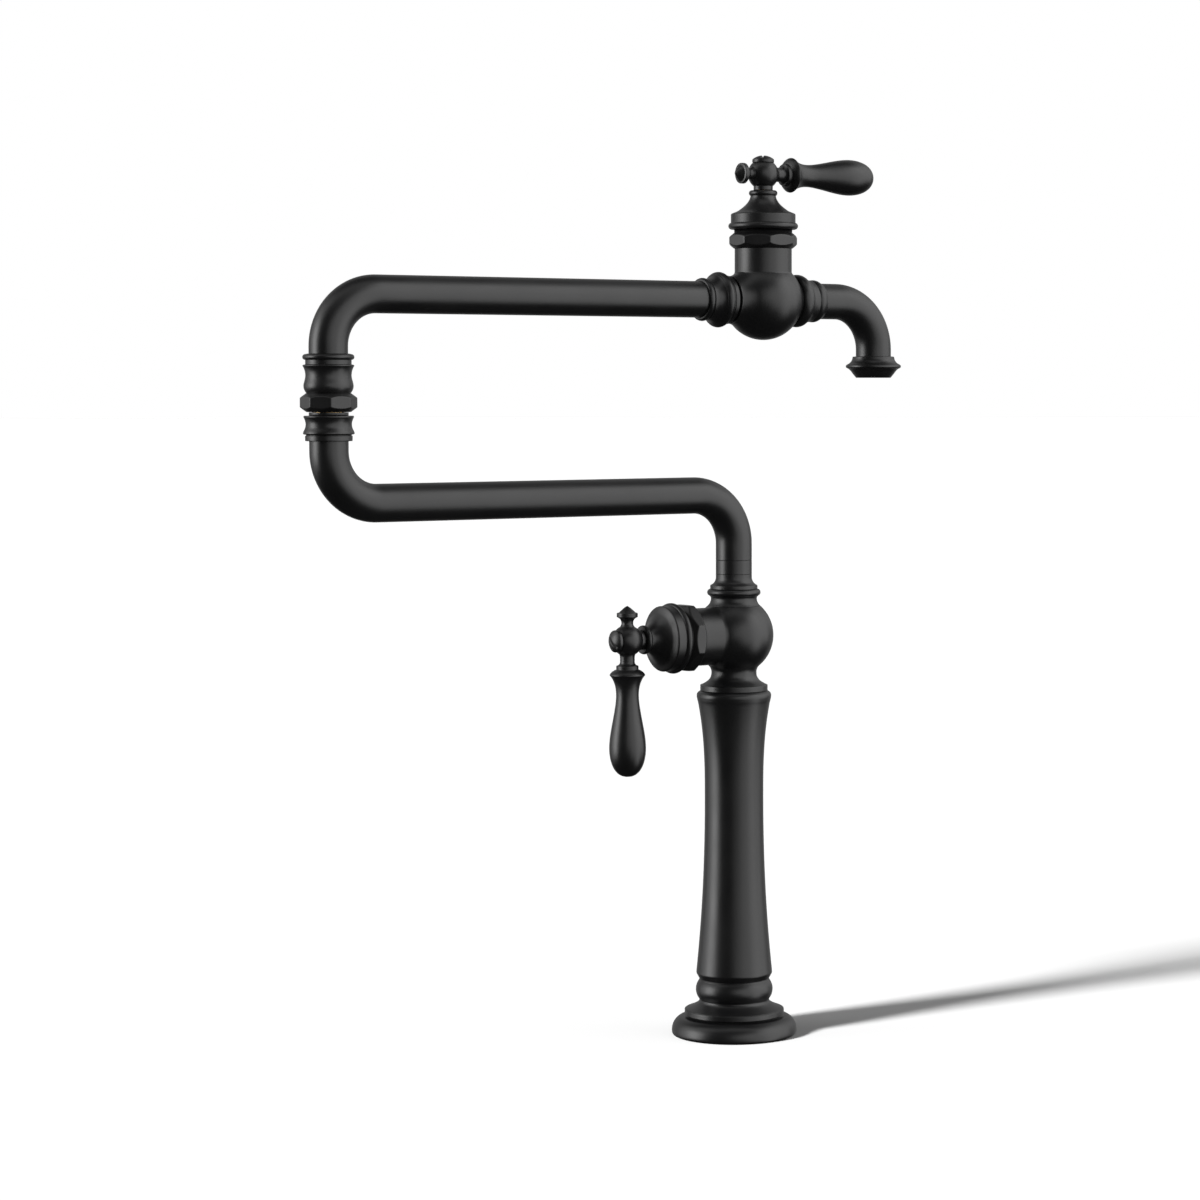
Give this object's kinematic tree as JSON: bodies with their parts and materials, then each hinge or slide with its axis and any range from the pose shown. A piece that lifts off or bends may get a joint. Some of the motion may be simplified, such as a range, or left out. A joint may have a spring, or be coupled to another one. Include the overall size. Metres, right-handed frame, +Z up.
{
  "type": "deck mount pot filler",
  "caption": "Deck mount pot filler: turned column with a quarter-turn valve, a double-jointed swinging arm, and a valved spout with a lever handle.",
  "frame": {"origin": "centre of the base on the deck face, on the column's axis", "axes": "+Z up along the column; both arms rest folded in the XZ plane, the knuckle towards -X and the spout towards +X"},
  "size_m": [0.3759, 0.0698, 0.5693],
  "materials": {
    "black_coat": "satin black coating on brass, slightly pebbled",
    "brass": "turned, uncoated",
    "steel": "stamped stainless steel",
    "rubber": "matt moulded rubber",
    "ceramic": "lapped ceramic",
    "white_plastic": "plain moulded plastic"
  },
  "bodies": {
    "base": {"deck_flange": "black_coat", "flange_gasket": "rubber", "base_ring": "black_coat", "column_sleeve": "black_coat", "mounting_shank": "brass", "riser_pipe": "brass", "riser_gasket": "rubber", "deck_rubber_washer": "rubber", "deck_steel_washer": "steel", "lock_nut": "brass", "lower_valve_body": "black_coat", "swivel_gland": "black_coat", "swivel_washer": "white_plastic", "lower_cartridge": "brass", "lower_seat_seal": "rubber", "lower_fixed_disc": "ceramic", "lower_bonnet_nut": "black_coat", "lower_bonnet": "black_coat"},
    "lower_arm": {"swivel_stem": "brass", "swivel_orings": "rubber", "swivel_sleeve": "black_coat", "lower_arm_tube": "black_coat", "knuckle_lower_collar": "black_coat", "knuckle_spindle": "brass", "knuckle_orings": "rubber"},
    "upper_arm": {"knuckle_washer": "white_plastic", "knuckle_nut": "black_coat", "knuckle_upper_collar": "black_coat", "upper_arm_tube": "black_coat", "inlet_ferrule": "black_coat", "upper_valve_body": "black_coat", "upper_cartridge": "brass", "upper_seat_seal": "rubber", "upper_fixed_disc": "ceramic", "upper_bonnet_nut": "black_coat", "upper_bonnet": "black_coat", "outlet_ferrule": "black_coat", "spout_tube": "black_coat", "outlet_bell": "black_coat", "aerator_washer": "rubber", "aerator_housing": "white_plastic", "aerator_screen": "steel"},
    "lower_handle": {"lower_moving_disc": "ceramic", "lower_stem": "brass", "lower_stem_orings": "rubber", "lower_hub": "black_coat", "lower_cap_screw": "black_coat", "lower_finial": "black_coat", "lower_lever": "black_coat"},
    "upper_handle": {"upper_moving_disc": "ceramic", "upper_stem": "brass", "upper_stem_orings": "rubber", "upper_hub": "black_coat", "upper_cap_screw": "black_coat", "upper_finial": "black_coat", "upper_lever": "black_coat"}
  },
  "joints": [
    {"name": "lower_arm_swivel", "type": "hinge", "parent": "base", "child": "lower_arm", "pos_m": [0, 0, 0.24], "axis": [0, 0, 1], "continuous": true},
    {"name": "knuckle_swivel", "type": "hinge", "parent": "lower_arm", "child": "upper_arm", "pos_m": [-0.25, 0, 0.35], "axis": [0, 0, 1], "continuous": true},
    {"name": "lower_handle_turn", "type": "hinge", "parent": "base", "child": "lower_handle", "pos_m": [-0.03, 0, 0.223], "axis": [-1, 0, 0], "range_deg": [0, 90]},
    {"name": "upper_handle_turn", "type": "hinge", "parent": "upper_arm", "child": "upper_handle", "pos_m": [0.02, 0, 0.44], "axis": [0, 0, 1], "range_deg": [0, 90]}
  ]
}
